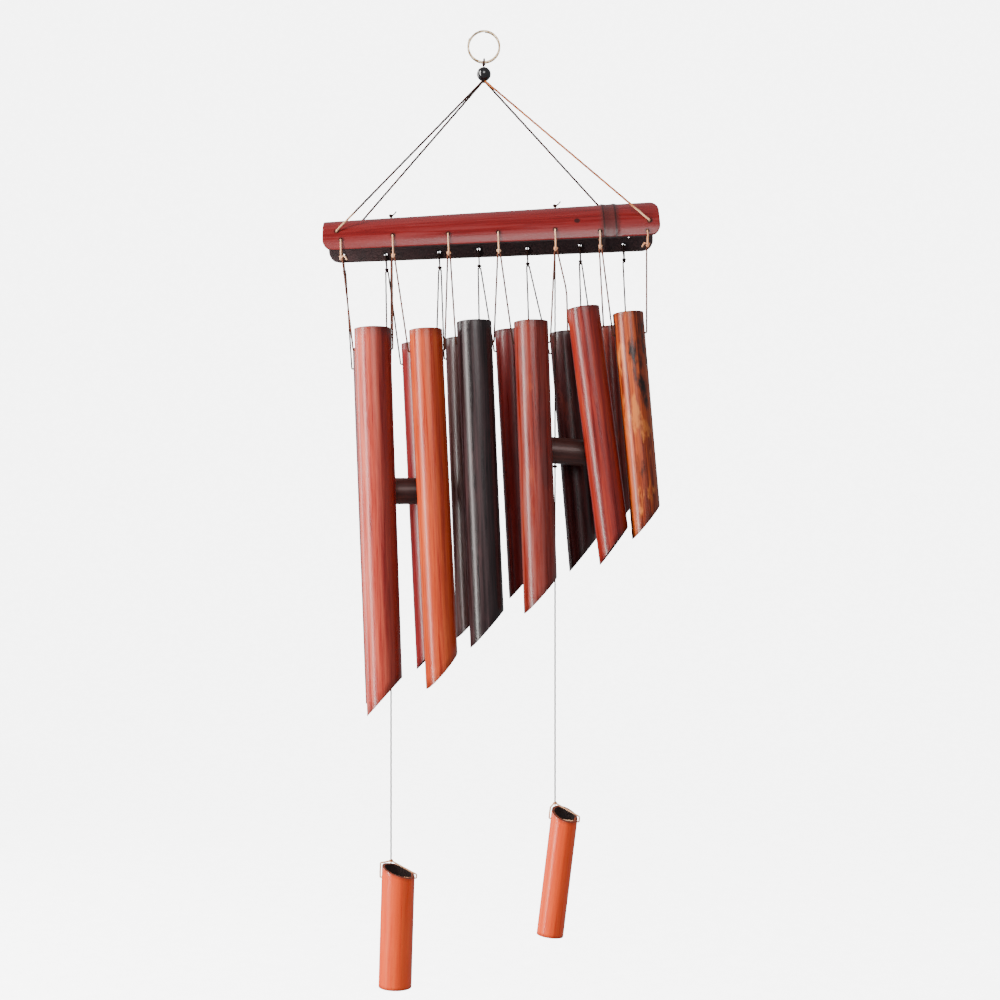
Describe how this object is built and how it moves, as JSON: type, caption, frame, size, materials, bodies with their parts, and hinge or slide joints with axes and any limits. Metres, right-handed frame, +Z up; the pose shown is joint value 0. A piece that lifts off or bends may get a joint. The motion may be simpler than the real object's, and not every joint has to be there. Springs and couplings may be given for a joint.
{
  "type": "wind chime",
  "caption": "Bamboo wind chime: tubes of falling length hang in two rows from a half-culm header, with clappers between the rows and wind catchers below.",
  "frame": {"origin": "centre of the split ring that the chime hangs from", "axes": "+Z up, +X along the header towards its thicker end with the short tubes, +Y towards the back row of tubes"},
  "size_m": [0.2586, 0.0829, 0.7462],
  "materials": {
    "ring_steel": "bronzed",
    "bead_glaze": "glossy",
    "header_bamboo": "lacquered",
    "tube_bamboo_front": "lacquered",
    "tube_bamboo_back": "lacquered",
    "clapper_bamboo": "satin",
    "catcher_bamboo": "satin",
    "waxed_cord": "matte"
  },
  "bodies": {
    "ring": {"hang_ring": "ring_steel"},
    "ring_loop": {"ring_loop": "waxed_cord"},
    "bead": {"top_bead": "bead_glaze"},
    "header": {"header": "header_bamboo", "neck_cord": "waxed_cord", "hanger_cord_front_left": "waxed_cord", "hanger_cord_front_right": "waxed_cord", "hanger_cord_back_left": "waxed_cord", "hanger_cord_back_right": "waxed_cord", "hanger_knots": "waxed_cord", "edge_loops_front": "waxed_cord", "edge_loops_back": "waxed_cord"},
    "cord_front_1": {"tube_cord_front_1": "waxed_cord"},
    "tube_front_1": {"chime_tube_front_1": "tube_bamboo_front"},
    "cord_front_2": {"tube_cord_front_2": "waxed_cord"},
    "tube_front_2": {"chime_tube_front_2": "tube_bamboo_front"},
    "cord_front_3": {"tube_cord_front_3": "waxed_cord"},
    "tube_front_3": {"chime_tube_front_3": "tube_bamboo_front"},
    "cord_front_4": {"tube_cord_front_4": "waxed_cord"},
    "tube_front_4": {"chime_tube_front_4": "tube_bamboo_front"},
    "cord_front_5": {"tube_cord_front_5": "waxed_cord"},
    "tube_front_5": {"chime_tube_front_5": "tube_bamboo_front"},
    "cord_front_6": {"tube_cord_front_6": "waxed_cord"},
    "tube_front_6": {"chime_tube_front_6": "tube_bamboo_front"},
    "cord_back_1": {"tube_cord_back_1": "waxed_cord"},
    "tube_back_1": {"chime_tube_back_1": "tube_bamboo_back"},
    "cord_back_2": {"tube_cord_back_2": "waxed_cord"},
    "tube_back_2": {"chime_tube_back_2": "tube_bamboo_back"},
    "cord_back_3": {"tube_cord_back_3": "waxed_cord"},
    "tube_back_3": {"chime_tube_back_3": "tube_bamboo_back"},
    "cord_back_4": {"tube_cord_back_4": "waxed_cord"},
    "tube_back_4": {"chime_tube_back_4": "tube_bamboo_back"},
    "cord_back_5": {"tube_cord_back_5": "waxed_cord"},
    "tube_back_5": {"chime_tube_back_5": "tube_bamboo_back"},
    "cord_back_6": {"tube_cord_back_6": "waxed_cord"},
    "tube_back_6": {"chime_tube_back_6": "tube_bamboo_back"},
    "string_knot_left": {"string_top_knot_left": "waxed_cord"},
    "upper_string_left": {"upper_string_left": "waxed_cord"},
    "clapper_left": {"clapper_left": "clapper_bamboo"},
    "clapper_knot_left": {"clapper_knot_left": "waxed_cord"},
    "lower_string_left": {"lower_string_left": "waxed_cord"},
    "catcher_loop_left": {"catcher_loop_left": "waxed_cord"},
    "catcher_left": {"wind_catcher_left": "catcher_bamboo"},
    "string_knot_right": {"string_top_knot_right": "waxed_cord"},
    "upper_string_right": {"upper_string_right": "waxed_cord"},
    "clapper_right": {"clapper_right": "clapper_bamboo"},
    "clapper_knot_right": {"clapper_knot_right": "waxed_cord"},
    "lower_string_right": {"lower_string_right": "waxed_cord"},
    "catcher_loop_right": {"catcher_loop_right": "waxed_cord"},
    "catcher_right": {"wind_catcher_right": "catcher_bamboo"}
  },
  "joints": [
    {"name": "ring_slide", "type": "hinge", "parent": "ring", "child": "ring_loop", "pos_m": [0, 0, 0], "axis": [0, 1, 0], "range_deg": [-20, 20]},
    {"name": "hanger_rock", "type": "hinge", "parent": "ring_loop", "child": "bead", "pos_m": [0, 0, -0.0121], "axis": [1, 0, 0], "range_deg": [-30, 30]},
    {"name": "hanger_twist", "type": "hinge", "parent": "bead", "child": "header", "pos_m": [0, 0, -0.02694], "axis": [0, 0, 1], "range_deg": [-90, 90]},
    {"name": "swing_front_1", "type": "hinge", "parent": "header", "child": "cord_front_1", "pos_m": [-0.08851, -0.028, -0.16932], "axis": [0.9991, 0, 0.0424], "range_deg": [-30, 0.6]},
    {"name": "tilt_front_1", "type": "hinge", "parent": "cord_front_1", "child": "tube_front_1", "pos_m": [-0.0841, -0.028, -0.24], "axis": [0.9994, 0, 0.0337], "range_deg": [-15, 0.6]},
    {"name": "swing_front_2", "type": "hinge", "parent": "header", "child": "cord_front_2", "pos_m": [-0.04749, -0.028, -0.16758], "axis": [0.9991, 0, 0.0424], "range_deg": [-30, 0.8]},
    {"name": "tilt_front_2", "type": "hinge", "parent": "cord_front_2", "child": "tube_front_2", "pos_m": [-0.04328, -0.028, -0.24096], "axis": [0.9989, 0, 0.0476], "range_deg": [-15, 0.8]},
    {"name": "swing_front_3", "type": "hinge", "parent": "header", "child": "cord_front_3", "pos_m": [-0.00728, -0.028, -0.16587], "axis": [0.9991, 0, 0.0424], "range_deg": [-30, 0.69]},
    {"name": "tilt_front_3", "type": "hinge", "parent": "cord_front_3", "child": "tube_front_3", "pos_m": [-0.00645, -0.028, -0.2348], "axis": [0.9991, 0, 0.0424], "range_deg": [-15, 0.69]},
    {"name": "swing_front_4", "type": "hinge", "parent": "header", "child": "cord_front_4", "pos_m": [0.03349, -0.028, -0.16414], "axis": [0.9991, 0, 0.0424], "range_deg": [-30, 0.73]},
    {"name": "tilt_front_4", "type": "hinge", "parent": "cord_front_4", "child": "tube_front_4", "pos_m": [0.03669, -0.028, -0.23487], "axis": [0.9994, 0, 0.0354], "range_deg": [-15, 0.73]},
    {"name": "swing_front_5", "type": "hinge", "parent": "header", "child": "cord_front_5", "pos_m": [0.07215, -0.028, -0.1625], "axis": [0.9991, 0, 0.0424], "range_deg": [-30, 0.82]},
    {"name": "tilt_front_5", "type": "hinge", "parent": "cord_front_5", "child": "tube_front_5", "pos_m": [0.07777, -0.028, -0.22422], "axis": [0.9916, 0, 0.1293], "range_deg": [-15, 0.82]},
    {"name": "swing_front_6", "type": "hinge", "parent": "header", "child": "cord_front_6", "pos_m": [0.10712, -0.028, -0.16102], "axis": [0.9991, 0, 0.0424], "range_deg": [-30, 0.96]},
    {"name": "tilt_front_6", "type": "hinge", "parent": "cord_front_6", "child": "tube_front_6", "pos_m": [0.11137, -0.028, -0.2282], "axis": [0.9963, 0, 0.0859], "range_deg": [-15, 0.96]},
    {"name": "swing_back_1", "type": "hinge", "parent": "header", "child": "cord_back_1", "pos_m": [-0.09465, 0.028, -0.16958], "axis": [0.9991, 0, 0.0424], "range_deg": [-0.75, 30]},
    {"name": "tilt_back_1", "type": "hinge", "parent": "cord_back_1", "child": "tube_back_1", "pos_m": [-0.09156, 0.028, -0.24712], "axis": [0.9993, 0, 0.0372], "range_deg": [-0.75, 15]},
    {"name": "swing_back_2", "type": "hinge", "parent": "header", "child": "cord_back_2", "pos_m": [-0.05658, 0.028, -0.16796], "axis": [0.9991, 0, 0.0424], "range_deg": [-0.75, 30]},
    {"name": "tilt_back_2", "type": "hinge", "parent": "cord_back_2", "child": "tube_back_2", "pos_m": [-0.05259, 0.028, -0.24316], "axis": [0.9989, 0, 0.0476], "range_deg": [-0.75, 15]},
    {"name": "swing_back_3", "type": "hinge", "parent": "header", "child": "cord_back_3", "pos_m": [-0.01967, 0.028, -0.1664], "axis": [0.9991, 0, 0.0424], "range_deg": [-0.75, 30]},
    {"name": "tilt_back_3", "type": "hinge", "parent": "cord_back_3", "child": "tube_back_3", "pos_m": [-0.01778, 0.028, -0.23918], "axis": [0.9992, 0, 0.0389], "range_deg": [-0.75, 15]},
    {"name": "swing_back_4", "type": "hinge", "parent": "header", "child": "cord_back_4", "pos_m": [0.01545, 0.028, -0.16491], "axis": [0.9991, 0, 0.0424], "range_deg": [-0.75, 30]},
    {"name": "tilt_back_4", "type": "hinge", "parent": "cord_back_4", "child": "tube_back_4", "pos_m": [0.02214, 0.028, -0.23278], "axis": [0.9985, 0, 0.0546], "range_deg": [-0.75, 15]},
    {"name": "swing_back_5", "type": "hinge", "parent": "header", "child": "cord_back_5", "pos_m": [0.05586, 0.028, -0.16319], "axis": [0.9991, 0, 0.0424], "range_deg": [-0.92, 30]},
    {"name": "tilt_back_5", "type": "hinge", "parent": "cord_back_5", "child": "tube_back_5", "pos_m": [0.06519, 0.028, -0.23436], "axis": [0.9964, 0, 0.0842], "range_deg": [-0.92, 15]},
    {"name": "swing_back_6", "type": "hinge", "parent": "header", "child": "cord_back_6", "pos_m": [0.09433, 0.028, -0.16156], "axis": [0.9991, 0, 0.0424], "range_deg": [-0.92, 30]},
    {"name": "tilt_back_6", "type": "hinge", "parent": "cord_back_6", "child": "tube_back_6", "pos_m": [0.10095, 0.028, -0.23034], "axis": [0.9979, 0, 0.0651], "range_deg": [-0.92, 15]},
    {"name": "string_sway_left", "type": "hinge", "parent": "header", "child": "string_knot_left", "pos_m": [-0.0724, 0, -0.13199], "axis": [0, 1, 0], "range_deg": [-8, 8]},
    {"name": "clapper_strike_left", "type": "hinge", "parent": "string_knot_left", "child": "upper_string_left", "pos_m": [-0.0724, 0, -0.13199], "axis": [1, 0, 0], "range_deg": [-0.8, 0.8]},
    {"name": "clapper_twist_left", "type": "hinge", "parent": "upper_string_left", "child": "clapper_left", "pos_m": [-0.0724, 0, -0.3464], "axis": [0, 0, 1], "range_deg": [-5, 5]},
    {"name": "lower_string_sway_left", "type": "hinge", "parent": "upper_string_left", "child": "clapper_knot_left", "pos_m": [-0.0724, 0, -0.3591], "axis": [0, 1, 0], "range_deg": [-10, 10]},
    {"name": "lower_string_pull_left", "type": "hinge", "parent": "clapper_knot_left", "child": "lower_string_left", "pos_m": [-0.0724, 0, -0.3591], "axis": [1, 0, 0], "range_deg": [-4, 4]},
    {"name": "catcher_turn_left", "type": "hinge", "parent": "lower_string_left", "child": "catcher_loop_left", "pos_m": [-0.0724, 0, -0.635], "axis": [0, 0, 1], "range_deg": [-90, 90]},
    {"name": "catcher_tilt_left", "type": "hinge", "parent": "catcher_loop_left", "child": "catcher_left", "pos_m": [-0.0668, 0, -0.648], "axis": [0.9996, 0, -0.0297], "range_deg": [-22, 22]},
    {"name": "string_sway_right", "type": "hinge", "parent": "header", "child": "string_knot_right", "pos_m": [0.05554, 0, -0.12417], "axis": [0, 1, 0], "range_deg": [-8, 8]},
    {"name": "clapper_strike_right", "type": "hinge", "parent": "string_knot_right", "child": "upper_string_right", "pos_m": [0.05554, 0, -0.12417], "axis": [1, 0, 0], "range_deg": [-0.9, 0.9]},
    {"name": "clapper_twist_right", "type": "hinge", "parent": "upper_string_right", "child": "clapper_right", "pos_m": [0.05554, 0, -0.3148], "axis": [0, 0, 1], "range_deg": [-5, 5]},
    {"name": "lower_string_sway_right", "type": "hinge", "parent": "upper_string_right", "child": "clapper_knot_right", "pos_m": [0.05554, 0, -0.3275], "axis": [0, 1, 0], "range_deg": [-10, 10]},
    {"name": "lower_string_pull_right", "type": "hinge", "parent": "clapper_knot_right", "child": "lower_string_right", "pos_m": [0.05554, 0, -0.3275], "axis": [1, 0, 0], "range_deg": [-4, 4]},
    {"name": "catcher_turn_right", "type": "hinge", "parent": "lower_string_right", "child": "catcher_loop_right", "pos_m": [0.05554, 0, -0.59], "axis": [0, 0, 1], "range_deg": [-90, 90]},
    {"name": "catcher_tilt_right", "type": "hinge", "parent": "catcher_loop_right", "child": "catcher_right", "pos_m": [0.06254, 0, -0.603], "axis": [0.9925, 0, -0.1219], "range_deg": [-22, 22]}
  ]
}
